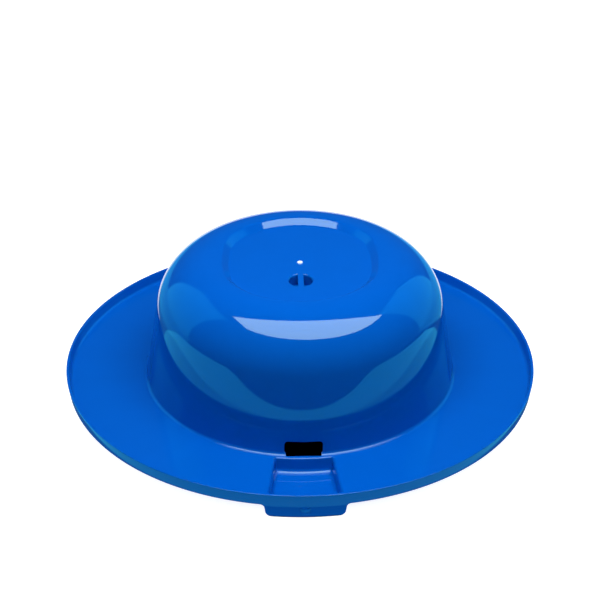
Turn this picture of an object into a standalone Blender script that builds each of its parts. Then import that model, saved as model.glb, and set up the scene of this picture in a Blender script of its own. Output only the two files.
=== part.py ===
"""Hip-bath basin for a toilet seat, modelled bowl up, as it stands when it is put down to dry.

The frame is in metres, +Z up. The origin is under the bowl's axis, on the surface that the hose
trough stands on. The hose slot, the trough and the tab are at the front, towards -Y.
"""
from math import asin, cos, pi, radians, sin, tan

import bmesh
import bpy

MM = 0.001

# Driving dimensions
SHELL = 2.0 * MM                 # thickness of the moulding
GAP = 0.3 * MM                   # clearance between neighbouring solids
STEPS = 60                       # sides of every turned shape

RIM_RADIUS = 185.0 * MM          # outermost radius, at the lip's rounded top edge
LIP_HEIGHT = 8.6 * MM            # lip's top above the brim's upper face
LIP_FLARE = radians(9.0)         # the lip leans outwards
LIP_FILLET = 2.5 * MM            # inner corner between the brim and the lip
LIP_EDGE = 1.2 * MM              # lip's lower outer edge

TROUGH_DEPTH = 11.0 * MM         # trough's floor below the brim's upper face
BRIM_Z = TROUGH_DEPTH + SHELL    # brim's upper face above the surface that the trough stands on

FOOT_RADIUS = 121.6 * MM         # where the bowl wall's line meets the brim's upper face
FOOT_FILLET = 3.0 * MM           # corner between the bowl wall and the brim
WALL_DRAFT = radians(8.8)        # the bowl narrows away from the brim
SHOULDER_RADIUS = 45.2 * MM
CROWN_HEIGHT = 100.8 * MM        # highest ring of the bowl above the brim's upper face

RECESS_DEPTH = 4.5 * MM          # base panel below the crown
RECESS_SLOPE = radians(38.0)
RECESS_FILLET = 2.0 * MM
CROWN_FILLET = 3.0 * MM
SEAM_ANGLE = radians(8.0)        # where the base ends on the shoulder, from the vertical

SLOT_WIDTH = 29.0 * MM
SLOT_HEIGHT = 10.9 * MM          # above the brim; the ridge of the trough is its lower edge
SLOT_CORNER = 2.2 * MM
SLOT_REACH = 15.0 * MM           # cutter's reach to each side of the wall

TROUGH_START = 125.4 * MM        # radius of the trough's inner end at the brim's upper face
TROUGH_END_DRAFT = radians(14.0)
TROUGH_NEAR_HALF = 21.6 * MM     # half-width at the trough's inner end
TROUGH_FAR_HALF = 28.4 * MM      # half-width at the tab
TROUGH_SIDE_DRAFT = radians(7.0)
TROUGH_CORNER = 2.6 * MM         # radius along the trough's two lower inner edges
TROUGH_BACK = 110.0 * MM         # how near to the axis the trough's cutters reach
TROUGH_FRONT = 200.0 * MM        # how far in front of the lip they reach
PIP_RADIUS = 4.3 * MM            # small domed pip on the tab
PIP_RISE = 1.6 * MM
PIP_HEIGHT = 7.6 * MM            # its centre above the trough's underside

BOSS_RADIUS = 12.1 * MM          # cored boss of the hose clip, inside the bowl
BOSS_WALL = 1.6 * MM
BOSS_DEPTH = 9.0 * MM
BOSS_DRAFT = radians(2.0)
BOSS_Y = -26.5 * MM
WEB = 4.4 * MM                   # web left between the boss's two cores
PRONG_GAP = 6.6 * MM             # space that the hose snaps into
PRONG_LENGTH = 13.0 * MM
PRONG_WALL = 2.4 * MM
PRONG_DEPTH = 9.0 * MM
PRONG_HOOK = 1.4 * MM            # how far a prong's hook reaches into the gap
PRONG_CHAMFER = 1.2 * MM         # outer corner at a prong's free end
PRONG_CHAMFER_RISE = 2.0 * MM
PRONG_NOSE = 2.4 * MM            # lead-in from a prong's free end to its hook
PRONG_CATCH = 4.6 * MM           # free end to where the hook has run out
NUB_RADIUS = 2.8 * MM
NUB_RISE = 1.2 * MM

BLUE = (0.006, 0.105, 0.63, 1.0)

OBJECT_NAME = "hip_bath_basin"


def start():
    """Empty the scene, and return the part's collection and the cutters' collection."""
    for obj in list(bpy.data.objects):
        bpy.data.objects.remove(obj, do_unlink=True)
    made = []
    for name in (OBJECT_NAME, "cutters"):
        collection = bpy.data.collections.new(name)
        bpy.context.scene.collection.children.link(collection)
        made.append(collection)
    return made


def plastic(name):
    """Glossy blue moulded polypropylene, one material for each node."""
    material = bpy.data.materials.new(name + "_polypropylene")
    material.use_nodes = True
    shader = material.node_tree.nodes["Principled BSDF"]
    shader.inputs["Base Color"].default_value = BLUE
    shader.inputs["Roughness"].default_value = 0.12
    shader.inputs["Metallic"].default_value = 0.0
    return material


def arc(r, z, radius, start_angle, end_angle, count):
    """Points of an arc about (r, z); an angle is turned from +Z towards +R."""
    step = (end_angle - start_angle) / count
    angles = [start_angle + step * i for i in range(count + 1)]
    return [(r + radius * sin(a), z + radius * cos(a)) for a in angles]


def place(name, mesh, collection, cutter=False):
    """Link a new object; a cutter is hidden and gets no material."""
    obj = bpy.data.objects.new(name, mesh)
    collection.objects.link(obj)
    if cutter:
        obj.hide_render = True
        obj.display_type = "WIRE"
    else:
        mesh.materials.append(plastic(name))
    return obj


def turned(name, points, collection, closed=False, cutter=False):
    """Turn a profile of (radius, height) points about +Z with a Screw modifier."""
    mesh = bpy.data.meshes.new(name)
    count = len(points)
    edges = [(i, i + 1) for i in range(count - 1)]
    if closed:
        edges.append((count - 1, 0))
    mesh.from_pydata([(r, 0.0, z) for r, z in points], edges, [])
    obj = place(name, mesh, collection, cutter)
    screw = obj.modifiers.new("turn", "SCREW")
    screw.axis = "Z"
    screw.angle = 2 * pi
    screw.steps = STEPS
    screw.render_steps = STEPS
    screw.use_merge_vertices = True
    screw.merge_threshold = 0.00001
    screw.use_smooth_shade = True
    return obj


def thicken(obj, thickness):
    """Give an open turned surface its thickness, on its inner side."""
    solid = obj.modifiers.new("shell", "SOLIDIFY")
    solid.thickness = thickness
    solid.offset = -1.0
    solid.use_even_offset = True
    return solid


def combine(obj, other, operation):
    """Add an exact Boolean."""
    boolean = obj.modifiers.new(operation.lower(), "BOOLEAN")
    boolean.operation = operation
    boolean.solver = "EXACT"
    boolean.object = other
    return boolean


def block(name, low, high, collection, cutter=False):
    """A box between two corners."""
    mesh = bpy.data.meshes.new(name)
    shape = bmesh.new()
    bmesh.ops.create_cube(shape, size=1.0)
    for vert in shape.verts:
        vert.co = [low[i] + (high[i] - low[i]) * (vert.co[i] + 0.5) for i in range(3)]
    shape.to_mesh(mesh)
    shape.free()
    return place(name, mesh, collection, cutter)


def lip_outer(z):
    """Radius of the lip's outer face at a height."""
    edge = SHELL / 2
    widest = RIM_RADIUS + edge / cos(LIP_FLARE) - edge
    return widest - (BRIM_Z + LIP_HEIGHT - edge - z) * tan(LIP_FLARE)


def lip_inner(z):
    """Radius of the lip's inner face at a height."""
    return lip_outer(z) - SHELL / cos(LIP_FLARE)


def lip_top_edge(count):
    """Rounded top edge of the lip, from its inner face to its outer face."""
    radius = SHELL / 2
    z = BRIM_Z + LIP_HEIGHT - radius
    middle = (lip_inner(z) + lip_outer(z)) / 2
    return arc(middle, z, radius, -pi / 2 + LIP_FLARE, pi / 2 + LIP_FLARE, count)


def foot_tangent():
    """Radius where the foot fillet runs out onto the brim."""
    return FOOT_RADIUS + FOOT_FILLET * tan((pi / 2 - WALL_DRAFT) / 2)


def shoulder_centre():
    """Centre (radius, height) of the shoulder's arc, tangent to the wall and to the crown."""
    z = CROWN_HEIGHT - SHOULDER_RADIUS
    r = FOOT_RADIUS - z * tan(WALL_DRAFT) - SHOULDER_RADIUS / cos(WALL_DRAFT)
    return r, BRIM_Z + z


def make_base(parts, cutters):
    """Recessed base panel and the crown ring around it, with the gate's nub and the boss's cores."""
    centre_r, centre_z = shoulder_centre()
    top = BRIM_Z + CROWN_HEIGHT
    floor = top - RECESS_DEPTH
    slope_drop = RECESS_DEPTH - (CROWN_FILLET + RECESS_FILLET) * (1 - cos(RECESS_SLOPE))
    slope_top_r = centre_r - CROWN_FILLET * sin(RECESS_SLOPE)
    slope_low_r = slope_top_r - slope_drop / tan(RECESS_SLOPE)
    floor_r = slope_low_r - RECESS_FILLET * sin(RECESS_SLOPE)
    seam = SEAM_ANGLE - GAP / 2 / SHOULDER_RADIUS

    points = [(0.0, floor)]
    points += arc(floor_r, floor + RECESS_FILLET, RECESS_FILLET, pi, pi - RECESS_SLOPE, 2)
    points += arc(centre_r, top - CROWN_FILLET, CROWN_FILLET, -RECESS_SLOPE, 0.0, 2)
    points += arc(centre_r, centre_z, SHOULDER_RADIUS, 0.0, seam, 3)[1:]
    base = turned("bowl_base", points, parts)
    thicken(base, SHELL)

    nub_ball = (NUB_RADIUS ** 2 + NUB_RISE ** 2) / (2 * NUB_RISE)
    nub_centre = floor + NUB_RISE - nub_ball
    spread = asin(NUB_RADIUS / nub_ball)
    dome = arc(0.0, nub_centre, nub_ball, 0.0, spread, 3)
    nub = turned("gate_nub", dome + [(NUB_RADIUS, floor - SHELL / 2), (0.0, floor - SHELL / 2)],
                 cutters, cutter=True)
    combine(base, nub, "UNION")
    for side, name in ((-1, "left"), (1, "right")):
        core = make_core("base_core_" + name, side, floor - 2 * SHELL, floor + SHELL, cutters)
        combine(base, core, "DIFFERENCE")
    return floor


def make_core(name, side, low, high, cutters):
    """One D-shaped core: half of a round bar, cut back from the middle web."""
    radius = BOSS_RADIUS - BOSS_WALL
    mesh = bpy.data.meshes.new(name)
    shape = bmesh.new()
    bmesh.ops.create_cone(shape, cap_ends=True, segments=24, radius1=radius, radius2=radius,
                          depth=high - low)
    bmesh.ops.translate(shape, verts=shape.verts, vec=(0.0, BOSS_Y, (low + high) / 2))
    bmesh.ops.bisect_plane(shape, geom=shape.verts[:] + shape.edges[:] + shape.faces[:],
                           plane_co=(side * WEB / 2, 0.0, 0.0), plane_no=(-side, 0.0, 0.0),
                           clear_outer=True)
    bmesh.ops.holes_fill(shape, edges=shape.edges[:])
    bmesh.ops.recalc_face_normals(shape, faces=shape.faces[:])
    shape.to_mesh(mesh)
    shape.free()
    return place(name, mesh, cutters, cutter=True)


def make_shoulder(parts):
    """Rounded shoulder between the base and the side wall."""
    centre_r, centre_z = shoulder_centre()
    half_gap = GAP / 2 / SHOULDER_RADIUS
    points = arc(centre_r, centre_z, SHOULDER_RADIUS, SEAM_ANGLE + half_gap,
                 pi / 2 - WALL_DRAFT - half_gap, 9)
    shoulder = turned("bowl_shoulder", points, parts)
    thicken(shoulder, SHELL)


def make_wall(parts, cutters):
    """Drafted side wall of the bowl, with the hose slot low at the front."""
    centre_r, centre_z = shoulder_centre()
    wall_r = centre_r + SHOULDER_RADIUS * cos(WALL_DRAFT) + GAP / 2 * sin(WALL_DRAFT)
    wall_z = centre_z + SHOULDER_RADIUS * sin(WALL_DRAFT) - GAP / 2 * cos(WALL_DRAFT)
    points = [(wall_r, wall_z)]
    points += arc(foot_tangent(), BRIM_Z + FOOT_FILLET, FOOT_FILLET, 3 * pi / 2 - WALL_DRAFT, pi, 3)
    points[-1] = (foot_tangent() - GAP / 2, BRIM_Z)
    wall = turned("bowl_wall", points, parts)
    thicken(wall, SHELL)

    low = (-SLOT_WIDTH / 2, -FOOT_RADIUS - SLOT_REACH, BRIM_Z - 3 * SHELL)
    high = (SLOT_WIDTH / 2, -FOOT_RADIUS + SLOT_REACH, BRIM_Z + SLOT_HEIGHT)
    slot = block("slot_cutter", low, high, cutters, cutter=True)
    shape = bmesh.new()
    shape.from_mesh(slot.data)
    along = [e for e in shape.edges if abs(e.verts[0].co.y - e.verts[1].co.y) > MM]
    bmesh.ops.bevel(shape, geom=along, offset=SLOT_CORNER, offset_type="OFFSET", segments=3,
                    profile=0.5, affect="EDGES")
    shape.to_mesh(slot.data)
    shape.free()
    combine(wall, slot, "DIFFERENCE")


def wedge(name, grow, low, high, cutters):
    """Plan of the trough as a solid: it widens towards the tab, and its sides lean.

    grow is added all round: 0 gives the trough's inside, SHELL its outside. The two lower edges
    that run towards the tab are rounded.
    """
    near_y = TROUGH_START
    far_y = lip_inner(BRIM_Z)
    flare = (TROUGH_FAR_HALF - TROUGH_NEAR_HALF) / (far_y - near_y)
    obj = block(name, (-1.0, -TROUGH_FRONT, low), (1.0, -TROUGH_BACK, high), cutters, cutter=True)
    shape = bmesh.new()
    shape.from_mesh(obj.data)
    for vert in shape.verts:
        half = TROUGH_NEAR_HALF + (-vert.co.y - near_y) * flare + grow
        half += (vert.co.z - BRIM_Z) * tan(TROUGH_SIDE_DRAFT)
        vert.co.x *= half
    lower = [e for e in shape.edges
             if all(abs(v.co.z - low) < MM / 10 for v in e.verts)
             and abs(e.verts[0].co.y - e.verts[1].co.y) > MM]
    bmesh.ops.bevel(shape, geom=lower, offset=TROUGH_CORNER + grow, offset_type="OFFSET",
                    segments=4, profile=0.5, affect="EDGES")
    shape.to_mesh(obj.data)
    shape.free()
    return obj


def make_trough(parts, cutters):
    """Hose trough sunk in the brim: a floor, two sides and a curved inner end."""
    end_lean = tan(TROUGH_END_DRAFT)
    floor = BRIM_Z - TROUGH_DEPTH
    inner_top = foot_tangent() + GAP / 2
    outer_low = TROUGH_START - SHELL + BRIM_Z * end_lean
    outside = [
        (inner_top, BRIM_Z),
        (lip_inner(BRIM_Z) - GAP, BRIM_Z),
        (lip_inner(0.0) - GAP, 0.0),
        (outer_low, 0.0),
        (inner_top, (outer_low - inner_top) / end_lean),
    ]
    trough = turned("hose_trough", outside, parts, closed=True)
    outline = wedge("trough_outline", SHELL, 0.0, BRIM_Z + 10 * MM, cutters)
    combine(trough, outline, "INTERSECT")

    wall_r = TROUGH_START + TROUGH_DEPTH * end_lean
    bend_r = wall_r + TROUGH_CORNER * tan((pi / 2 - TROUGH_END_DRAFT) / 2)
    above = 5 * MM
    cavity_points = [(TROUGH_START - above * end_lean, BRIM_Z + above),
                     (TROUGH_FRONT, BRIM_Z + above), (TROUGH_FRONT, floor)]
    cavity_points += arc(bend_r, floor + TROUGH_CORNER, TROUGH_CORNER, pi,
                         3 * pi / 2 - TROUGH_END_DRAFT, 3)
    cavity = turned("trough_cavity", cavity_points, cutters, closed=True, cutter=True)
    inside = wedge("trough_inside", 0.0, floor, BRIM_Z + 8 * MM, cutters)
    combine(cavity, inside, "INTERSECT")
    combine(trough, cavity, "DIFFERENCE")


def make_brim(parts, notch):
    """Flat brim around the bowl, open at the front where the trough lies."""
    start_r = foot_tangent() + GAP / 2
    end_r = lip_inner(BRIM_Z) - LIP_FILLET * tan((pi / 2 - LIP_FLARE) / 2) - GAP / 2
    brim = turned("brim", [(start_r, BRIM_Z), (end_r, BRIM_Z)], parts)
    thicken(brim, SHELL)
    combine(brim, notch, "DIFFERENCE")


def make_lip(parts, notch):
    """Upturned lip round the brim, open at the front where the tab stands."""
    centre_r = lip_inner(BRIM_Z) - LIP_FILLET * tan((pi / 2 - LIP_FLARE) / 2)
    start_r = centre_r + GAP / 2
    under = BRIM_Z - SHELL
    edge_r = lip_outer(under + LIP_EDGE) - LIP_EDGE / cos(LIP_FLARE)
    points = lip_top_edge(3)
    points += arc(edge_r, under + LIP_EDGE, LIP_EDGE, pi / 2 + LIP_FLARE, pi, 3)
    points += [(start_r, under), (start_r, BRIM_Z)]
    points += arc(centre_r, BRIM_Z + LIP_FILLET, LIP_FILLET, pi, pi / 2 + LIP_FLARE, 3)[1:]
    lip = turned("rim_lip", points, parts, closed=True)
    combine(lip, notch, "DIFFERENCE")


def make_tab(parts, cutters):
    """Tab at the front: the lip's face carried down over the trough's end, with a round pip."""
    points = lip_top_edge(3) + [(lip_outer(0.0), 0.0), (lip_inner(0.0), 0.0)]
    tab = turned("front_tab", points, parts, closed=True)
    outline = wedge("tab_outline", SHELL, 0.0, BRIM_Z + 12 * MM, cutters)
    combine(tab, outline, "INTERSECT")

    ball = (PIP_RADIUS ** 2 + PIP_RISE ** 2) / (2 * PIP_RISE)
    spread = asin(PIP_RADIUS / ball)
    dome = arc(0.0, PIP_RISE - ball, ball, 0.0, spread, 4)
    pip = turned("tab_pip", dome + [(PIP_RADIUS, -SHELL / 2), (0.0, -SHELL / 2)], cutters,
                 cutter=True)
    pip.rotation_euler = (pi / 2 - LIP_FLARE, 0.0, 0.0)
    pip.location = (0.0, -lip_outer(PIP_HEIGHT), PIP_HEIGHT)
    combine(tab, pip, "UNION")


def make_boss(floor, parts, cutters):
    """Cored boss that carries the hose clip, under the base panel, inside the bowl."""
    top = floor - SHELL - GAP
    low = top - BOSS_DEPTH
    points = [(0.0, top), (BOSS_RADIUS, top), (BOSS_RADIUS - BOSS_DEPTH * tan(BOSS_DRAFT), low),
              (0.0, low)]
    boss = turned("clip_boss", points, parts)
    boss.location.y = BOSS_Y
    for side, name in ((-1, "left"), (1, "right")):
        core = make_core("boss_core_" + name, side, low + BOSS_WALL, top + SHELL, cutters)
        combine(boss, core, "DIFFERENCE")
    return low


def make_prong(name, side, top, parts):
    """One springy prong of the hose clip, hooked inwards at its free end."""
    inner = PRONG_GAP / 2
    outer = inner + PRONG_WALL
    end = top - PRONG_LENGTH
    outline = [
        (outer, top),
        (outer, end + PRONG_CHAMFER_RISE),
        (outer - PRONG_CHAMFER, end),
        (inner - PRONG_HOOK / 2, end),
        (inner - PRONG_HOOK, end + PRONG_NOSE),
        (inner, end + PRONG_CATCH),
        (inner, top),
    ]
    curve = bpy.data.curves.new(name, "CURVE")
    curve.dimensions = "2D"
    curve.fill_mode = "BOTH"
    curve.extrude = PRONG_DEPTH / 2
    spline = curve.splines.new("POLY")
    spline.points.add(len(outline) - 1)
    for point, (x, z) in zip(spline.points, outline):
        point.co = (side * x, z, 0.0, 1.0)
    spline.use_cyclic_u = True
    drawn = bpy.data.objects.new(name + "_outline", curve)
    parts.objects.link(drawn)
    drawn.rotation_euler = (pi / 2, 0.0, 0.0)
    drawn.location.y = BOSS_Y
    bpy.context.view_layer.update()

    seen = drawn.evaluated_get(bpy.context.evaluated_depsgraph_get())
    mesh = bpy.data.meshes.new_from_object(seen)
    shape = bmesh.new()
    shape.from_mesh(mesh)
    bmesh.ops.remove_doubles(shape, verts=shape.verts[:], dist=0.00001)
    bmesh.ops.recalc_face_normals(shape, faces=shape.faces[:])
    shape.to_mesh(mesh)
    shape.free()
    prong = place(name, mesh, parts)
    prong.matrix_world = drawn.matrix_world
    bpy.data.objects.remove(drawn, do_unlink=True)


def main():
    parts, cutters = start()
    notch = wedge("front_notch", SHELL + GAP, -20 * MM, BRIM_Z + 14 * MM, cutters)
    floor = make_base(parts, cutters)
    make_shoulder(parts)
    make_wall(parts, cutters)
    make_brim(parts, notch)
    make_lip(parts, notch)
    make_trough(parts, cutters)
    make_tab(parts, cutters)
    boss_low = make_boss(floor, parts, cutters)
    for side, name in ((-1, "hose_clip_left"), (1, "hose_clip_right")):
        make_prong(name, side, boss_low - GAP, parts)


main()
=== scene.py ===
"""Looks of a blue hip-bath basin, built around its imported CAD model.

Everything is in metres, in the model's frame: +Z runs up the bowl's axis, and the hose slot, the
trough and the tab face -Y.
"""
from math import asin, atan2, cos, pi, radians, sin, sqrt, tan

import bmesh
import bpy
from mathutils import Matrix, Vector


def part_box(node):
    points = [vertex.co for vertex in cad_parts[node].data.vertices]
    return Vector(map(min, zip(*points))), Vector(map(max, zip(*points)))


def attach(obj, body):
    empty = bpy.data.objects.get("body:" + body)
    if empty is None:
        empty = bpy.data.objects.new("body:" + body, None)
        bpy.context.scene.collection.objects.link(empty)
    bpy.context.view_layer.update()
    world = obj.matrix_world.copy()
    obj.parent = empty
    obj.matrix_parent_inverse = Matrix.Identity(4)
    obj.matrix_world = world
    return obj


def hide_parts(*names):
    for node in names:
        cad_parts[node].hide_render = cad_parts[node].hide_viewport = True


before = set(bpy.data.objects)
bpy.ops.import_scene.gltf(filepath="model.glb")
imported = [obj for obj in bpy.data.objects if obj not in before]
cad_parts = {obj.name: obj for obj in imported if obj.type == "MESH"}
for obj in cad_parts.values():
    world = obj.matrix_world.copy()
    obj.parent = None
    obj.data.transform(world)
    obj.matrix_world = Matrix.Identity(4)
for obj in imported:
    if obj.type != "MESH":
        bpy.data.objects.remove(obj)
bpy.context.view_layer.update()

bl_info = {
    "name": "Hip-bath basin",
    "version": (1, 0, 0),
    "blender": (4, 5, 0),
    "location": "View3D > Sidebar > Basin",
    "description": "Builds the looks of a moulded hip-bath basin and its studio",
    "category": "Object",
}

MM = 0.001
LIP_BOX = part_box("rim_lip")
BRIM_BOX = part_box("brim")
BASE_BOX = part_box("bowl_base")
BOSS_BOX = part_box("clip_boss")
BODY = "root"
PLASTIC = "blue polypropylene, moulded"

# How finely the section is divided, from the middle outwards.
NUB_STEPS = 4
PANEL_STEPS = 10
RECESS_STEPS = 8                 # over the corner round the panel, and again over the crown's edge
SHOULDER_STEPS = 34
SIDE_STEPS = 12
FOOT_STEPS = 9
BRIM_STEPS = 16
FILLET_STEPS = 8                 # over the lip's inner corner, and over its lower outer edge
LIP_INNER_STEPS = 5
LIP_EDGE_STEPS = 5               # over each of the lip's two top edges
LIP_OUTER_STEPS = 6

# How finely the trough and the rest of the rim are divided.
EDGE_STEPS = 6                   # columns or rows over a rounded edge
WALL_STEPS = 4                   # over the straight wall below it
CORNER_STEPS = 7                 # over the fillet at its foot
FLOOR_COLUMNS = 26               # across the trough's floor
NEAR_COLUMNS = 10                # beside the trough
BACK_COLUMNS = 156               # round the rest of the rim
FRONT_ANGLE = radians(24.0)      # half of the sector that the trough's columns share
NEAR_POWER = 1.6                 # how closely the columns beside the trough crowd up to it
REACH_ROUNDS = 4                 # rounds of working out where a column crosses a radius

# Shapes that need no setting of their own.
CORNER_POWER = 5                 # how tightly the trough's inner corners are rounded
FLAT_POWER = 14                  # how tightly the recess turns into its two flat sides
UNDER_EDGE = 0.6 * MM            # rounding where the end wall's outer side meets the brim
PANEL_START = 8 * MM             # first ring of the panel's inner side
NUB_FOOT = 0.4 * MM              # width of the ring that ends the gate's nub
SHARP = radians(32.0)            # edges that turn further than this stay sharp

# The tools that cut and fill the shell.
SLOT_REACH = 15.0 * MM           # reach of the slot's cutter to each side of the wall
SLOT_STEPS = 8                   # over each of the slot's corners
BEHIND_CORNER = 0.4              # share of the slot's corners that the bar behind the ridge leaves
BEHIND_DEPTH = 3                 # how far that bar goes below the brim, in wall thicknesses
BEHIND_HEIGHT = 2                # and above it
ROUND_STEPS = 96                 # round the clip's boss and its cores
CORE_STEPS = 8                   # over the flare of a core's mouth
PIP_STEPS = 7
PIP_ROUND_STEPS = 48


# ---------------------------------------------------------------- settings

def length(name, description, default):
    """A size in metres that the user may change."""
    return bpy.props.FloatProperty(name=name, description=description, default=default,
                                   unit="LENGTH", subtype="DISTANCE", precision=5)


def angle(name, description, degrees):
    """An angle that the user may change."""
    return bpy.props.FloatProperty(name=name, description=description, default=radians(degrees),
                                   unit="ROTATION", subtype="ANGLE")


def linear(code):
    """Turn an sRGB hex colour into the linear values that shaders and lights take."""
    values = [int(code[i:i + 2], 16) / 255 for i in (0, 2, 4)]
    return tuple(v / 12.92 if v <= 0.04045 else ((v + 0.055) / 1.055) ** 2.4 for v in values)


def colour(name, description, code):
    """A colour that the user may change."""
    return bpy.props.FloatVectorProperty(name=name, description=description, subtype="COLOR",
                                         size=3, min=0.0, max=1.0, default=linear(code))


class BasinSizes(bpy.types.PropertyGroup):
    """Driving sizes of the moulding."""

    shell: length("Wall", "Thickness of the moulding", 2.0 * MM)
    rim: length("Rim radius", "Outermost radius, at the lip's rounded top edge", LIP_BOX[1].x)
    lip_top: length("Lip top", "Height of the lip's top edge", LIP_BOX[1].z)
    lip_flare: angle("Lip flare", "How far the lip leans outwards", 9.0)
    lip_fillet: length("Lip fillet", "Inner corner between the brim and the lip", 2.5 * MM)
    lip_edge: length("Lip edge", "Rounding of the lip's lower outer edge", 1.2 * MM)
    lip_round: length("Lip rounding", "Rounding of the lip's top edges", 0.4 * MM)
    brim_z: length("Brim height", "Height of the brim's upper face", BRIM_BOX[1].z)
    foot: length("Foot radius", "Where the bowl wall's line meets the brim", 121.6 * MM)
    foot_fillet: length("Foot fillet", "Corner between the bowl wall and the brim", 3.0 * MM)
    draft: angle("Wall draft", "How far the bowl narrows away from the brim", 8.8)
    shoulder: length("Shoulder radius", "Rounding between the wall and the crown", 45.2 * MM)
    crown_z: length("Crown height", "Height of the bowl's highest ring", BASE_BOX[1].z)
    recess: length("Recess depth", "Base panel below the crown", 4.5 * MM)
    recess_slope: angle("Recess slope", "Slope of the step round the base panel", 38.0)
    recess_fillet: length("Recess fillet", "Corner round the base panel", 2.0 * MM)
    crown_fillet: length("Crown fillet", "Inner edge of the crown ring", 3.0 * MM)
    crown_flat: length("Crown flat", "Least width of the flat on top of the crown ring", 0.4 * MM)
    recess_side: length("Recess side", "Where the recess's two flat sides lie", 58.8 * MM)
    nub_radius: length("Gate nub radius", "Nub left by the gate in the middle", 2.8 * MM)
    nub_rise: length("Gate nub rise", "Height of the gate's nub", 1.2 * MM)


class BasinFront(bpy.types.PropertyGroup):
    """Sizes of the hose slot, the trough, the tab and the hose clip."""

    slot_width: length("Slot width", "Width of the hose slot", 29.0 * MM)
    slot_height: length("Slot height", "Slot's top above the brim", 10.9 * MM)
    ridge: length("Ridge", "Thickness of the ridge that the slot ends at", 3.2 * MM)
    slot_corner: length("Slot corner", "Rounding of the slot's corners", 2.8 * MM)
    start: length("Trough start", "Radius of the trough's inner end at the brim", 126.0 * MM)
    end_draft: angle("End draft", "Lean of the trough's inner end wall", 10.5)
    side_draft: angle("Side draft", "Lean of the trough's side walls", 7.0)
    near_half: length("Near half-width", "Half the trough's width at its inner end", 21.6 * MM)
    far_half: length("Far half-width", "Half the trough's width at the tab", 28.4 * MM)
    ridge_round: length("Ridge rounding", "Rounding of the ridge before the slot", 1.4 * MM)
    edge_round: length("Edge rounding", "Rounding of the trough's top edges", 2.4 * MM)
    corner: length("Trough corner", "Radius along the trough's lower inner edges", 2.6 * MM)
    foot_extra: length("Foot extra", "How much rounder the end wall's foot is", 1.2 * MM)
    outer_round: length("Tab root radius", "Inner corner between the lip and the tab", 3.2 * MM)
    tab_edge: length("Tab edge", "Rounding of the tab's lower edge", 0.8 * MM)
    pip_radius: length("Pip radius", "Radius of the tab's domed pip", 4.3 * MM)
    pip_rise: length("Pip rise", "Height of the pip above the tab's face", 1.9 * MM)
    pip_z: length("Pip height", "Height of the pip's centre", 7.6 * MM)
    boss_y: length("Boss place", "Where the clip's boss stands", -26.5 * MM)
    boss_radius: length("Boss radius", "Outer radius of the clip's boss", 12.1 * MM)
    core_edge: length("Core edge", "Flare of the cores' mouths", 1.8 * MM)
    core_radius: length("Core radius", "Radius of the two cores' mouths", 10.7 * MM)
    web: length("Web", "Web between the two cores", 4.4 * MM)


class BasinColours(bpy.types.PropertyGroup):
    """Colours of the moulding and its studio."""

    blue: colour("Polypropylene", "Pigment of the moulded blue polypropylene", "004FAC")
    floor: colour("Floor", "Pale studio floor", "F4F4F4")


# ---------------------------------------------------------------- outlines

def arc(r, z, radius, start, end, count):
    """Points (r, z) of an arc about (r, z); its angles turn from +Z towards +R."""
    angles = [start + (end - start) * i / count for i in range(count + 1)]
    return [(r + radius * sin(a), z + radius * cos(a)) for a in angles]


def dome(z, radius, rise, count):
    """Outline of a low dome that stands on a height, from just off its top down to its edge."""
    ball = (radius ** 2 + rise ** 2) / (2 * rise)
    spread = asin(radius / ball)
    return arc(0.0, z + rise - ball, ball, spread / (count + 1), spread, count)


def spaced(start, end, count):
    """Evenly spaced values between two others, leaving both out."""
    return [start + (end - start) * i / count for i in range(1, count)]


def line(start, end, count):
    """Points between two others, leaving both out."""
    return list(zip(spaced(start[0], end[0], count), spaced(start[1], end[1], count)))


def step_down(corner, upper, lower, draft, depth):
    """(offset, depth) points of a step: a rounded edge, a drafted wall and a filleted foot."""
    turn = pi / 2 - draft
    edge = upper * tan(turn / 2)
    foot = lower * tan(turn / 2)
    low = corner - depth * tan(draft)
    points = []
    for i in range(EDGE_STEPS + 1):
        a = turn * i / EDGE_STEPS
        points.append((corner + edge - upper * sin(a), upper * (1 - cos(a))))
    bottom = []
    for i in range(CORNER_STEPS + 1):
        a = turn * (1 - i / CORNER_STEPS)
        bottom.append((low - foot + lower * sin(a), depth - lower * (1 - cos(a))))
    return points + line(points[-1], bottom[0], WALL_STEPS) + bottom


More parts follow.
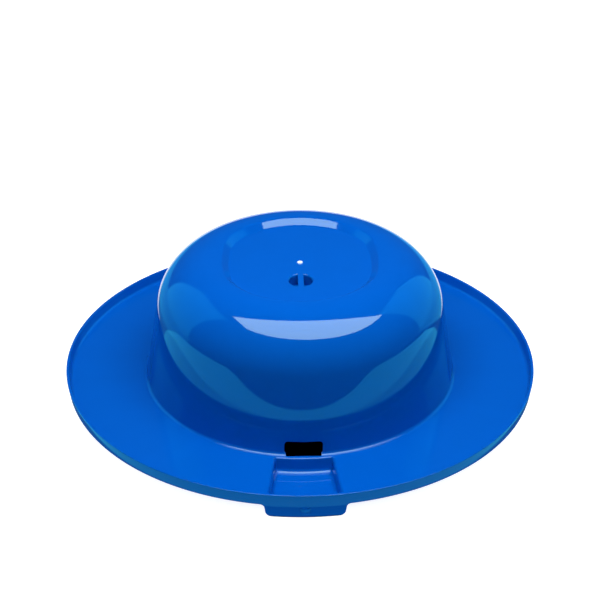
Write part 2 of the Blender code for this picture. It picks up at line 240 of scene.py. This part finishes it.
class Section:
    """Turned section of the basin, with the trough sunk by any depth where it crosses it."""

    def __init__(self, sizes, front):
        self.s = sizes
        self.f = front
        self.depth = sizes.brim_z - sizes.shell
        self.foot_r = sizes.foot + sizes.foot_fillet * tan((pi / 2 - sizes.draft) / 2)
        rise = sizes.crown_z - sizes.shoulder - sizes.brim_z
        self.shoulder_r = sizes.foot - rise * tan(sizes.draft) - sizes.shoulder / cos(sizes.draft)
        self.shoulder_z = sizes.crown_z - sizes.shoulder
        self.floor_z = sizes.crown_z - sizes.recess
        self.upper_end = step_down(0.0, front.ridge_round, front.corner + front.foot_extra,
                                   front.end_draft, self.depth)
        self.under_end = step_down(0.0, UNDER_EDGE, front.corner + sizes.shell,
                                   front.end_draft, self.depth)

    def lip_outer(self, z):
        """Radius of the lip's outer face at a height."""
        edge = self.s.lip_round
        widest = self.s.rim + edge / cos(self.s.lip_flare) - edge
        return widest - (self.s.lip_top - edge - z) * tan(self.s.lip_flare)

    def lip_inner(self, z):
        """Radius of the lip's inner face at a height."""
        return self.lip_outer(z) - self.s.shell / cos(self.s.lip_flare)

    def base(self, inset):
        """Base panel, recess, crown and wall down to the brim; inset gives the inner side."""
        s = self.s
        floor = self.floor_z - inset
        recess = s.recess_fillet + inset
        crown = s.crown_fillet - inset
        drop = s.recess - (s.crown_fillet + s.recess_fillet) * (1 - cos(s.recess_slope))
        ring_r = self.shoulder_r
        slope_r = ring_r - s.crown_flat - s.crown_fillet * sin(s.recess_slope)
        panel_r = slope_r - drop / tan(s.recess_slope) - s.recess_fillet * sin(s.recess_slope)
        if inset:
            points = [(PANEL_START, floor)]
        else:
            points = dome(floor, s.nub_radius, s.nub_rise, NUB_STEPS)
            points.append((s.nub_radius + NUB_FOOT, floor))
        points += line(points[-1], (panel_r, floor), PANEL_STEPS)
        points += arc(panel_r, self.floor_z + s.recess_fillet, recess, pi, pi - s.recess_slope,
                      RECESS_STEPS)
        points += arc(ring_r - s.crown_flat, s.crown_z - s.crown_fillet, crown,
                      -s.recess_slope, 0.0, RECESS_STEPS)
        shoulder = arc(ring_r, self.shoulder_z, s.shoulder - inset, 0.0, pi / 2 - s.draft,
                       SHOULDER_STEPS)
        foot = arc(self.foot_r, s.brim_z + s.foot_fillet, s.foot_fillet + inset,
                   3 * pi / 2 - s.draft, pi, FOOT_STEPS)
        points += shoulder + line(shoulder[-1], foot[0], SIDE_STEPS) + foot
        return points

    def sunk(self, down, across):
        """Depth of the trough where its end wall gives one depth and its side wall another."""
        rise = ((self.depth - down) ** CORNER_POWER + (self.depth - across) ** CORNER_POWER)
        return self.depth - min(self.depth, rise ** (1 / CORNER_POWER))

    def around(self, sink_upper, sink_under):
        """Whole section as (radius, height, outside), for a column that is sunk by two depths."""
        s = self.s
        f = self.f
        edge = s.lip_round
        upper = self.base(0.0)
        for offset, down in self.upper_end:
            upper.append((f.start - offset, s.brim_z - self.sunk(down, sink_upper)))

        floor = s.brim_z - sink_upper
        fillet_r = self.lip_inner(floor) - s.lip_fillet * tan((pi / 2 - s.lip_flare) / 2)
        fillet = arc(fillet_r, floor + s.lip_fillet, s.lip_fillet, pi, pi / 2 + s.lip_flare,
                     FILLET_STEPS)
        top_z = s.lip_top - edge
        inset = edge / cos(s.lip_flare)
        top = arc(self.lip_inner(top_z) + inset, top_z, edge, -pi / 2 + s.lip_flare, 0.0,
                  LIP_EDGE_STEPS)
        top += arc(self.lip_outer(top_z) - inset, top_z, edge, 0.0, pi / 2 + s.lip_flare,
                   LIP_EDGE_STEPS)
        upper += line(upper[-1], fillet[0], BRIM_STEPS) + fillet
        upper += line(fillet[-1], top[0], LIP_INNER_STEPS)
        points = [(r, z, 0.0) for r, z in upper]
        points += [(r, z, i / (len(top) - 1)) for i, (r, z) in enumerate(top)]

        under = s.brim_z - s.shell - sink_under
        share = sink_under / self.depth
        radius = s.lip_edge * (1 - share) + f.tab_edge * share
        corner_r = self.lip_outer(under + radius) - radius / cos(s.lip_flare)
        corner = arc(corner_r, under + radius, radius, pi / 2 + s.lip_flare, pi, FILLET_STEPS)
        outer = line(top[-1], corner[0], LIP_OUTER_STEPS) + corner
        end = []
        for offset, down in reversed(self.under_end):
            end.append((f.start - s.shell - offset,
                        s.brim_z - s.shell - self.sunk(down, sink_under)))
        outer += line(corner[-1], end[0], BRIM_STEPS) + end
        outer += reversed(self.base(s.shell))
        return points + [(r, z, 1.0) for r, z in outer]


def columns(section):
    """Columns round the basin.

    Each is (share, upper offset, under offset, upper depth, under depth, angle, weight). In the
    front sector a column keeps its share of the way across the trough, which widens towards the
    tab; further round, the weight turns it over to its own angle.
    """
    s = section.s
    f = section.f
    upper = step_down(0.0, f.edge_round, f.corner, f.side_draft, section.depth)
    under = step_down(s.shell, f.outer_round, f.corner + s.shell, f.side_draft, section.depth)
    side = [(1.0, a[0], b[0], a[1], b[1], 0.0, 0.0) for a, b in zip(upper, under)]
    near = [(1.0, upper[0][0], under[0][0], 0.0, 0.0, FRONT_ANGLE,
             (i / NEAR_COLUMNS) ** NEAR_POWER)
            for i in range(NEAR_COLUMNS, 0, -1)]
    right = near + side
    floor = [(share,) + side[-1][1:] for share in spaced(-1.0, 1.0, FLOOR_COLUMNS)]
    left = [(-c[0],) + c[1:5] + (-c[5], c[6]) for c in right]
    back = [(1.0, 0.0, 0.0, 0.0, 0.0, a, 1.0)
            for a in spaced(FRONT_ANGLE, 2 * pi - FRONT_ANGLE, BACK_COLUMNS)]
    return left + floor + right[::-1] + back


def turn_of(section, column, radius, outside):
    """Angle of a column at a radius, turned from -Y towards +X."""
    f = section.f
    share, upper, under, _, _, away, weight = column
    if weight == 1.0:
        return away
    widen = (f.far_half - f.near_half) / (section.lip_inner(section.s.brim_z) - f.start)
    offset = upper + (under - upper) * outside
    reach = max(radius, section.foot_r)
    forward = reach
    for _ in range(REACH_ROUNDS):
        across = share * (f.near_half + (forward - f.start) * widen + offset)
        forward = sqrt(reach ** 2 - across ** 2)
    turn = atan2(across, forward)
    return turn + (away - turn) * weight


def squeezed(section, radius, turn):
    """Radius of a point on the base once the recess has its two flat sides.

    The squeeze grows from the middle of the panel to the recess's edge, and from the crown's
    flat outwards the bowl stays round.
    """
    s = section.s
    edge = section.shoulder_r - s.crown_flat
    if radius > edge + s.crown_flat / 4:
        return radius
    side = s.recess_side * edge / (edge - s.recess)
    flat = (1.0 + (edge * abs(sin(turn)) / side) ** FLAT_POWER) ** (-1 / FLAT_POWER)
    share = min(1.0, (radius / (edge - 2 * s.recess)) ** 2)
    return radius * (1.0 + (flat - 1.0) * share)


# ---------------------------------------------------------------- meshes

def finished(name, shape):
    """Mesh data from a bmesh, which is freed."""
    mesh = bpy.data.meshes.new(name)
    shape.to_mesh(mesh)
    shape.free()
    return mesh


def linked(name, data):
    """Object for a mesh, light or camera, in the scene's collection."""
    obj = bpy.data.objects.new(name, data)
    bpy.context.scene.collection.objects.link(obj)
    return obj


def placed(name, shape):
    """Object for a bmesh, in the scene's collection."""
    return linked(name, finished(name, shape))


def cut(obj, tool, operation):
    """Apply an exact Boolean with an object, which is then removed."""
    boolean = obj.modifiers.new(operation.lower(), "BOOLEAN")
    boolean.operation = operation
    boolean.solver = "EXACT"
    boolean.object = tool
    seen = obj.evaluated_get(bpy.context.evaluated_depsgraph_get())
    mesh = bpy.data.meshes.new_from_object(seen)
    if not mesh.polygons:
        raise RuntimeError("nothing is left of " + obj.name + " after " + tool.name)
    obj.modifiers.clear()
    obj.data = mesh
    bpy.data.objects.remove(tool, do_unlink=True)


def lathe(outline, count, caps):
    """Outline of (radius, height) points turned about +Z; caps closes its two ends."""
    shape = bmesh.new()
    rings = []
    for r, z in outline:
        rings.append([shape.verts.new((r * cos(2 * pi * i / count), r * sin(2 * pi * i / count), z))
                      for i in range(count)])
    for ring, following in zip(rings, rings[1:]):
        for i in range(count):
            j = (i + 1) % count
            shape.faces.new((ring[i], ring[j], following[j], following[i]))
    for ring, closed in zip((rings[0], rings[-1]), caps):
        if closed:
            shape.faces.new(ring)
    bmesh.ops.recalc_face_normals(shape, faces=shape.faces[:])
    return shape


def bar(low, high):
    """Box between two corners."""
    shape = bmesh.new()
    bmesh.ops.create_cube(shape, size=1.0)
    for vert in shape.verts:
        vert.co = [a + (b - a) * (c + 0.5) for a, b, c in zip(low, high, vert.co)]
    return shape


def whole_shell(section):
    """Closed shape of the whole moulding before its openings are cut."""
    shape = bmesh.new()
    rings = []
    sections = {}
    for column in columns(section):
        sinks = column[3:5]
        if sinks not in sections:
            sections[sinks] = section.around(*sinks)
        ring = []
        for radius, height, outside in sections[sinks]:
            turn = turn_of(section, column, radius, outside)
            radius = squeezed(section, radius, turn)
            ring.append(shape.verts.new((radius * sin(turn), -radius * cos(turn), height)))
        rings.append(ring)
    top = shape.verts.new((0.0, 0.0, section.floor_z + section.s.nub_rise))
    low = shape.verts.new((0.0, 0.0, section.floor_z - section.s.shell))
    for ring, following in zip(rings, rings[1:] + rings[:1]):
        shape.faces.new((top, ring[0], following[0]))
        shape.faces.new((low, following[-1], ring[-1]))
        for i in range(len(ring) - 1):
            shape.faces.new((ring[i], ring[i + 1], following[i + 1], following[i]))
    bmesh.ops.recalc_face_normals(shape, faces=shape.faces[:])
    return placed("basin_shell", shape)


def slot_tool(section):
    """Rounded bar that cuts the hose slot through the bowl wall, down to the brim's height."""
    s = section.s
    f = section.f
    half = f.slot_width / 2
    top = s.brim_z + f.slot_height
    shape = bar((-half, -s.foot - SLOT_REACH, s.brim_z), (half, -s.foot + SLOT_REACH, top))
    along = [e for e in shape.edges if abs(e.verts[0].co.y - e.verts[1].co.y) > MM]
    bmesh.ops.bevel(shape, geom=along, offset=f.slot_corner, offset_type="OFFSET",
                    segments=SLOT_STEPS, profile=0.5, affect="EDGES")
    return placed("slot_tool", shape)


def behind_ridge_tool(section):
    """Bar that opens the slot downwards behind the ridge, so that the ridge is its lower edge."""
    s = section.s
    f = section.f
    half = f.slot_width / 2 - BEHIND_CORNER * f.slot_corner
    shape = bar((-half, f.ridge - f.start, s.brim_z - BEHIND_DEPTH * s.shell),
                (half, -s.foot + SLOT_REACH, s.brim_z + BEHIND_HEIGHT * s.shell))
    return placed("behind_ridge_tool", shape)


def boss_tool(section, low):
    """Round boss of the hose clip, from its lower face up into the base panel."""
    f = section.f
    high = section.floor_z - section.s.shell / 2
    shape = bmesh.new()
    bmesh.ops.create_cone(shape, cap_ends=True, segments=ROUND_STEPS, radius1=f.boss_radius,
                          radius2=f.boss_radius, depth=high - low)
    bmesh.ops.translate(shape, verts=shape.verts, vec=(0.0, f.boss_y, (low + high) / 2))
    return placed("boss_tool", shape)


def core_tool(section, low):
    """Two D-shaped cores, one on each side of the web, flared where they meet the base panel."""
    f = section.f
    floor = section.floor_z
    inner = f.core_radius - f.core_edge
    flare = arc(f.core_radius, floor - f.core_edge, f.core_edge, -pi / 2, 0.0, CORE_STEPS)
    outline = [(inner, low)] + flare + [(f.core_radius, floor + MM)]
    whole = bmesh.new()
    for side in (-1, 1):
        shape = lathe(outline, ROUND_STEPS, (True, True))
        bmesh.ops.translate(shape, verts=shape.verts, vec=(0.0, f.boss_y, 0.0))
        bmesh.ops.bisect_plane(shape, geom=shape.verts[:] + shape.edges[:] + shape.faces[:],
                               plane_co=(side * f.web / 2, 0.0, 0.0),
                               plane_no=(-side, 0.0, 0.0), clear_outer=True)
        bmesh.ops.holes_fill(shape, edges=shape.edges[:])
        bmesh.ops.recalc_face_normals(shape, faces=shape.faces[:])
        half = finished("core", shape)
        whole.from_mesh(half)
        bpy.data.meshes.remove(half)
    return placed("core_tool", whole)


def pip_tool(section):
    """Domed pip that stands on the tab's outer face."""
    f = section.f
    outline = dome(0.0, f.pip_radius, f.pip_rise, PIP_STEPS)
    outline.append((f.pip_radius, -section.s.shell / 2))
    obj = placed("pip_tool", lathe(outline, PIP_ROUND_STEPS, (True, True)))
    obj.rotation_euler = (pi / 2 - section.s.lip_flare, 0.0, 0.0)
    obj.location = (0.0, -section.lip_outer(f.pip_z), f.pip_z)
    return obj


# ---------------------------------------------------------------- materials

def node(tree, kind, settings=None, inputs=None):
    """Add a node, set its properties, and set or link its inputs."""
    made = tree.nodes.new(kind)
    for key, value in (settings or {}).items():
        setattr(made, key, value)
    for key, value in (inputs or {}).items():
        if isinstance(value, bpy.types.NodeSocket):
            tree.links.new(value, made.inputs[key])
        else:
            made.inputs[key].default_value = value
    return made


def per_metre(millimetres):
    """Scale of a pattern whose features have a real size."""
    return 1.0 / (millimetres * MM)


def moulded_polypropylene(pigment, gate):
    """Blue polypropylene homopolymer, injection moulded in a polished tool.

    The polished tool gives a wet gloss with clean-edged reflections, and the pigment goes all the
    way through. Shrinkage leaves the broad faces very slightly wavy, so that long reflections
    wander a little, and handling leaves faint dulled patches and hair-thin rubs in the gloss.
    """
    material = bpy.data.materials.new(PLASTIC)
    material.use_nodes = True
    tree = material.node_tree
    place = node(tree, "ShaderNodeNewGeometry").outputs["Position"]

    # Polypropylene bends light by 1.49. Its gloss leans to blue, as the tents round it are blue.
    shader = tree.nodes["Principled BSDF"]
    shader.inputs["IOR"].default_value = 1.49
    shader.inputs["Specular Tint"].default_value = (*linear("C4EFFF"), 1.0)

    # The pigment isn't mixed quite evenly: clouds up to 4% paler or deeper, some 13 mm across where
    # they are 117 mm from the middle of the basin, and smaller nearer to it.
    outward = node(tree, "ShaderNodeVectorMath", {"operation": "NORMALIZE"}, {0: place})
    clouds = node(tree, "ShaderNodeTexNoise", inputs={
        "Vector": outward.outputs["Vector"], "Scale": 117.0 / 13.0, "Detail": 3.0})
    pale = [min(1.0, 1.04 * v) for v in pigment]
    deep = [0.96 * v for v in pigment]
    body = node(tree, "ShaderNodeMix", {"data_type": "RGBA"}, {
        "Factor": clouds.outputs["Fac"], 6: (*deep, 1.0), 7: (*pale, 1.0)})

    # The sprue was broken off in the middle. White round its nub is a painted highlight, its glint.
    from_gate = node(tree, "ShaderNodeVectorMath", {"operation": "DISTANCE"}, {0: place, 1: gate})
    white = node(tree, "ShaderNodeMapRange", inputs={
        "Value": from_gate.outputs["Value"], "From Min": 1.7 * MM, "From Max": 2.5 * MM,
        "To Min": 1.0, "To Max": 0.0})
    painted_glint = node(tree, "ShaderNodeMix", {"data_type": "RGBA"}, {
        "Factor": white.outputs["Result"], 6: body.outputs[2], 7: (*linear("EDF6FF"), 1.0)})
    tree.links.new(painted_glint.outputs[2], shader.inputs["Base Color"])

    # Dulled patches some 30 mm across. Rubs that lie at a slant, fifty times as long as they are
    # wide, and drawn four times wider than real ones (0.2 mm) so that they show.
    patches = node(tree, "ShaderNodeTexNoise", inputs={
        "Vector": place, "Scale": per_metre(30.0), "Detail": 2.0})
    dulled = node(tree, "ShaderNodeMapRange", inputs={
        "Value": patches.outputs["Fac"], "From Min": 0.35, "From Max": 0.75,
        "To Min": 0.028, "To Max": 0.05})
    along = node(tree, "ShaderNodeMapping", inputs={
        "Vector": place, "Rotation": (0.3, 0.2, 0.6), "Scale": (0.02, 1.0, 1.0)})
    rubs = node(tree, "ShaderNodeTexNoise", inputs={
        "Vector": along.outputs["Vector"], "Scale": per_metre(0.8), "Detail": 0.0})
    rubbed = node(tree, "ShaderNodeMapRange", inputs={
        "Value": rubs.outputs["Fac"], "From Min": 0.74, "From Max": 0.80,
        "To Min": 0.0, "To Max": 0.05})
    rough = node(tree, "ShaderNodeMath", {"operation": "ADD"}, {
        0: dulled.outputs["Result"], 1: rubbed.outputs["Result"]})
    tree.links.new(rough.outputs["Value"], shader.inputs["Roughness"])

    # Shrinkage leaves waves some 40 mm long and 0.01 mm high, and the tool's polishing leaves
    # ripples some 1.5 mm long, far too low to see as more than a softer edge to a reflection.
    waves = node(tree, "ShaderNodeTexNoise", inputs={
        "Vector": place, "Scale": per_metre(40.0), "Detail": 1.0})
    wavy = node(tree, "ShaderNodeBump", inputs={
        "Height": waves.outputs["Fac"], "Strength": 1.0, "Distance": 0.01 * MM})
    ripples = node(tree, "ShaderNodeTexNoise", inputs={
        "Vector": place, "Scale": per_metre(1.5), "Detail": 1.0})
    rippled = node(tree, "ShaderNodeBump", inputs={
        "Height": ripples.outputs["Fac"], "Strength": 1.0, "Distance": 0.0004 * MM,
        "Normal": wavy.outputs["Normal"]})
    tree.links.new(rippled.outputs["Normal"], shader.inputs["Normal"])
    return material


def plastic():
    """The moulding's material, made once."""
    found = bpy.data.materials.get(PLASTIC)
    scene = bpy.context.scene
    gate = (0.0, 0.0, scene.basin_sizes.crown_z - scene.basin_sizes.recess)
    return found or moulded_polypropylene(scene.basin_colours.blue, gate)


SHADE_START = 0.125              # radius up to which the paper is painted black, a painted shade under the bowl
SHADE_END = 0.181                # radius from which it is fully lit, just inside the lip
PAPER_GLOW = 1.02                # how brightly the lit paper glows, 1 being white
PAPER_SHARE = 0.4                # how much of the floor's colour is left to the other lights


def studio_paper(tone):
    """Uncoated background paper, matt, lit so evenly from all sides that it reads almost white.

    Under the basin it turns black, a painted shade, so nothing bright shows through the hose slot.
    """
    material = bpy.data.materials.new("background paper, matt")
    material.use_nodes = True
    tree = material.node_tree
    place = node(tree, "ShaderNodeNewGeometry").outputs["Position"]
    reach = node(tree, "ShaderNodeVectorMath", {"operation": "LENGTH"}, {0: place})
    # The glow and the colour fade to black under the bowl: painted shade.
    glow_and_painted_shade = node(tree, "ShaderNodeMapRange", {"interpolation_type": "SMOOTHSTEP"}, {
        "Value": reach.outputs["Value"], "From Min": SHADE_START, "From Max": SHADE_END,
        "To Min": 0.0, "To Max": PAPER_GLOW})
    paper = node(tree, "ShaderNodeMix", {"data_type": "RGBA"}, {
        "Factor": glow_and_painted_shade.outputs["Result"], 6: (*linear("000000"), 1.0),
        7: (*[PAPER_SHARE * v for v in tone], 1.0)})
    shader = tree.nodes["Principled BSDF"]
    tree.links.new(paper.outputs[2], shader.inputs["Base Color"])
    shader.inputs["Roughness"].default_value = 1.0
    shader.inputs["Specular IOR Level"].default_value = 0.0
    shader.inputs["Emission Color"].default_value = (*linear("FFFFFF"), 1.0)
    tree.links.new(glow_and_painted_shade.outputs["Result"], shader.inputs["Emission Strength"])
    return material


def lit_cloth(name, tint, strength):
    """Woven diffusing cloth with lamps behind it, which make it evenly bright."""
    material = bpy.data.materials.new(name + ", lit cloth")
    material.use_nodes = True
    shader = material.node_tree.nodes["Principled BSDF"]
    shader.inputs["Base Color"].default_value = (*linear("000000"), 1.0)
    shader.inputs["Emission Color"].default_value = (*tint, 1.0)
    shader.inputs["Emission Strength"].default_value = strength
    return material


# ---------------------------------------------------------------- studio

WHITE = linear("FFFFFF")
COOL = linear("38D3FF")          # the tents, and the table on both sides
PALE = linear("45DDFF")          # the table in front
WARM = linear("FFF9E1")          # the softbox's face
ROOM = linear("306195")          # the dim room that everything stands in
UP = (0.0, 0.0, 1.0)
DOWN = (0.0, 0.0, -1.0)
LEFT = (-1.0, 0.0, 0.0)
RIGHT = (1.0, 0.0, 0.0)
LIGHTS = (
    # name, shape, place, facing, (width, depth), radiance, tint, shows in the gloss
    ("softbox", "RECTANGLE", (0.05, -0.24, 1.013), DOWN, (1.15, 0.65), 8.0, WHITE, False),
    ("table_near", "ELLIPSE", (0.0, 0.0, 0.001), UP, (0.60, 0.60), 1.0, WHITE, False),
    ("table_behind", "RECTANGLE", (0.0, 1.30, 0.001), UP, (0.40, 2.5), 1.2, WHITE, True),
    ("table_left", "RECTANGLE", (-0.83, 0.77, 0.001), UP, (1.26, 1.6), 0.85, COOL, True),
    ("table_right", "RECTANGLE", (0.83, 0.90, 0.001), UP, (1.26, 1.6), 0.85, COOL, True),
    ("tent_left", "RECTANGLE", (-1.5, 0.85, 1.0), RIGHT, (1.6, 2.0), 1.4, COOL, True),
    ("tent_right", "RECTANGLE", (1.5, 1.05, 1.0), LEFT, (1.6, 2.0), 1.4, COOL, True),
)

FACE_MIDDLE = 0.09               # the softbox's face, across: its middle,
FACE_HALF = 0.74                 # its half-width,
FACE_LEFT = -0.58                # and where its left end is cut off
FACE_BACK = 0.02                 # the middle of its back edge
FACE_BOW = 0.08                  # how far the back edge's two ends lie behind that
FACE_BOW_POWER = 4               # how late the back edge starts to bow
FACE_DEPTH = 0.76                # from those ends forward to the front edge's middle
FACE_FRONT_POWER = 0.8           # below 1, so the front edge is blunter than an ellipse
FACE_HEIGHT = 1.003
FACE_STRENGTH = 9.0
FACE_FRONT_STEPS = 40
FACE_BACK_STEPS = 20

TABLE_RINGS = (
    # name, half-widths of the inner ellipse, half-widths of the outer ellipse, strength
    ("table_ring_near", (0.19, 0.19), (0.27, 0.25), 1.3),
    ("table_ring_far", (0.27, 0.25), (0.50, 0.283), 2.1),
)
RING_HEIGHT = 1.2 * MM
RING_START = 0.9 * pi            # the rings run round the front, from a little behind one side
RING_END = 2.1 * pi              # to a little behind the other
RING_STEPS = 84

FLOOR_RADIUS = 9.0
FLOOR_GAP = 0.2 * MM             # so that the floor doesn't touch the trough's underside
SWEEP_RADIUS = 3.0
SWEEP_STEPS = 12
SWEEP_TOP = 9.0
SWEEP_ROUND_STEPS = 64

CAMERA_PLACE = Vector((-0.0312, -1.3768, 0.8902))
CAMERA_TARGET = Vector((0.0, 0.0, 0.0757))
CAMERA_LENS = 122.8


def area_light(name, shape, place, facing, size, radiance, tint, shows):
    """Flat soft light of an even brightness, where a radiance of 1 reads as white.

    An ellipse is brighter than its radiance says, by 4 / pi, as its power is that of its box.
    """
    data = bpy.data.lights.new(name, "AREA")
    data.shape = shape
    data.size, data.size_y = size
    data.color = tint
    data.energy = radiance * pi * size[0] * size[1]
    obj = linked(name, data)
    obj.location = place
    obj.rotation_euler = Vector(facing).to_track_quat("-Z", "Y").to_euler()
    obj.visible_camera = False
    obj.visible_glossy = shows


def lit_card(name, shape, tint, strength):
    """Evenly lit cloth or paper that only the gloss shows."""
    obj = placed(name, shape)
    obj.data.materials.append(lit_cloth(name, tint, strength))
    obj.visible_camera = False
    obj.visible_diffuse = False
    obj.visible_shadow = False


def softbox_face():
    """Face of the softbox: nearly straight behind, bowed towards the front."""
    outline = []
    for i in range(FACE_FRONT_STEPS + 1):
        turn = pi * i / FACE_FRONT_STEPS
        forward = FACE_DEPTH * sin(turn) ** FACE_FRONT_POWER
        outline.append((max(FACE_LEFT, FACE_MIDDLE + FACE_HALF * cos(turn)),
                        FACE_BACK + FACE_BOW - forward, FACE_HEIGHT))
    for share in spaced(-1.0, 1.0, FACE_BACK_STEPS):
        across = FACE_MIDDLE + FACE_HALF * share
        if across > FACE_LEFT:
            outline.append((across, FACE_BACK + FACE_BOW * share ** FACE_BOW_POWER, FACE_HEIGHT))
    shape = bmesh.new()
    shape.faces.new([shape.verts.new(point) for point in outline][::-1])
    lit_card("softbox_face", shape, WARM, FACE_STRENGTH)


def table_ring(name, inner, outer, strength):
    """Lit table top in front of the basin, between two ellipses given by their half-widths."""
    shape = bmesh.new()
    rings = []
    for across, along in (inner, outer):
        rings.append([shape.verts.new((across * cos(turn), along * sin(turn), RING_HEIGHT))
                      for turn in spaced(RING_START, RING_END, RING_STEPS)])
    for i in range(len(rings[0]) - 1):
        shape.faces.new((rings[0][i], rings[1][i], rings[1][i + 1], rings[0][i + 1]))
    lit_card(name, shape, PALE, strength)


def sweep(tone):
    """Round paper floor that turns up into a wall far behind everything."""
    outline = arc(FLOOR_RADIUS, SWEEP_RADIUS, SWEEP_RADIUS, pi, pi / 2, SWEEP_STEPS)
    outline.append((FLOOR_RADIUS + SWEEP_RADIUS, SWEEP_TOP))
    obj = placed("studio_floor", lathe(outline, SWEEP_ROUND_STEPS, (True, False)))
    obj.location.z = -FLOOR_GAP
    obj.data.shade_smooth()
    obj.data.materials.append(studio_paper(tone))
    obj.visible_glossy = False
    obj.visible_diffuse = False
    obj.visible_shadow = False


def dim_room(stage):
    """Dim blue room, which shows in the gloss and lights nothing else."""
    world = bpy.data.worlds.new("dim room")
    world.use_nodes = True
    world.node_tree.nodes["Background"].inputs["Color"].default_value = (*ROOM, 1.0)
    world.cycles_visibility.diffuse = False
    stage.world = world


def camera(stage):
    """Camera in front of the slot, above the brim, looking at the bowl."""
    data = bpy.data.cameras.new("camera")
    data.lens = CAMERA_LENS
    obj = linked("camera", data)
    obj.location = CAMERA_PLACE
    obj.rotation_euler = (CAMERA_TARGET - CAMERA_PLACE).to_track_quat("-Z", "Y").to_euler()
    stage.camera = obj


# ---------------------------------------------------------------- operators

class BASIN_OT_shell(bpy.types.Operator):
    """Build the one-piece moulding: bowl, brim, lip, hose trough, tab and clip boss"""

    bl_idname = "basin.shell"
    bl_label = "Basin shell"

    def execute(self, context):
        section = Section(context.scene.basin_sizes, context.scene.basin_front)
        boss_low = BOSS_BOX[0].z
        obj = whole_shell(section)
        cut(obj, pip_tool(section), "UNION")
        cut(obj, slot_tool(section), "DIFFERENCE")
        cut(obj, behind_ridge_tool(section), "DIFFERENCE")
        cut(obj, boss_tool(section, boss_low), "UNION")
        cut(obj, core_tool(section, boss_low + section.s.shell), "DIFFERENCE")
        obj.data.shade_smooth()
        obj.data.set_sharp_from_angle(angle=SHARP)
        obj.data.materials.clear()
        obj.data.materials.append(plastic())
        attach(obj, BODY)
        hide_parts("bowl_base", "bowl_shoulder", "bowl_wall", "brim", "rim_lip",
                    "hose_trough", "front_tab", "clip_boss")
        return {"FINISHED"}


class BASIN_OT_clip(bpy.types.Operator):
    """Finish the two prongs of the hose clip inside the bowl"""

    bl_idname = "basin.clip"
    bl_label = "Hose clip"

    def execute(self, context):
        for name in ("hose_clip_left", "hose_clip_right"):
            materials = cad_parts[name].data.materials
            materials.clear()
            materials.append(plastic())
        return {"FINISHED"}


class BASIN_OT_stage(bpy.types.Operator):
    """Set the pale floor, the soft light and the camera"""

    bl_idname = "basin.stage"
    bl_label = "Studio"

    def execute(self, context):
        stage = context.scene
        sweep(stage.basin_colours.floor)
        for light in LIGHTS:
            area_light(*light)
        softbox_face()
        for ring in TABLE_RINGS:
            table_ring(*ring)
        dim_room(stage)
        stage.view_settings.view_transform = "Standard"
        camera(stage)
        return {"FINISHED"}


class BASIN_PT_panel(bpy.types.Panel):
    """Buttons and sizes of the basin"""

    bl_label = "Hip-bath basin"
    bl_idname = "BASIN_PT_panel"
    bl_space_type = "VIEW_3D"
    bl_region_type = "UI"
    bl_category = "Basin"

    def draw(self, context):
        for operator in OPERATORS:
            self.layout.operator(operator.bl_idname)
        for group in (context.scene.basin_sizes, context.scene.basin_front,
                      context.scene.basin_colours):
            for key in group.__annotations__:
                self.layout.prop(group, key)


OPERATORS = (BASIN_OT_shell, BASIN_OT_clip, BASIN_OT_stage)
GROUPS = {"basin_sizes": BasinSizes, "basin_front": BasinFront, "basin_colours": BasinColours}


def register():
    """Register the settings, the operators and the panel."""
    for group in GROUPS.values():
        bpy.utils.register_class(group)
    for name, group in GROUPS.items():
        setattr(bpy.types.Scene, name, bpy.props.PointerProperty(type=group))
    for shown in OPERATORS + (BASIN_PT_panel,):
        bpy.utils.register_class(shown)


def unregister():
    """Undo register."""
    for shown in reversed(OPERATORS + (BASIN_PT_panel,)):
        bpy.utils.unregister_class(shown)
    for name, group in GROUPS.items():
        delattr(bpy.types.Scene, name)
        bpy.utils.unregister_class(group)


def main():
    """Build the basin and its studio."""
    register()
    bpy.ops.basin.shell()
    bpy.ops.basin.clip()
    bpy.ops.basin.stage()


if __name__ == "__main__":
    main()
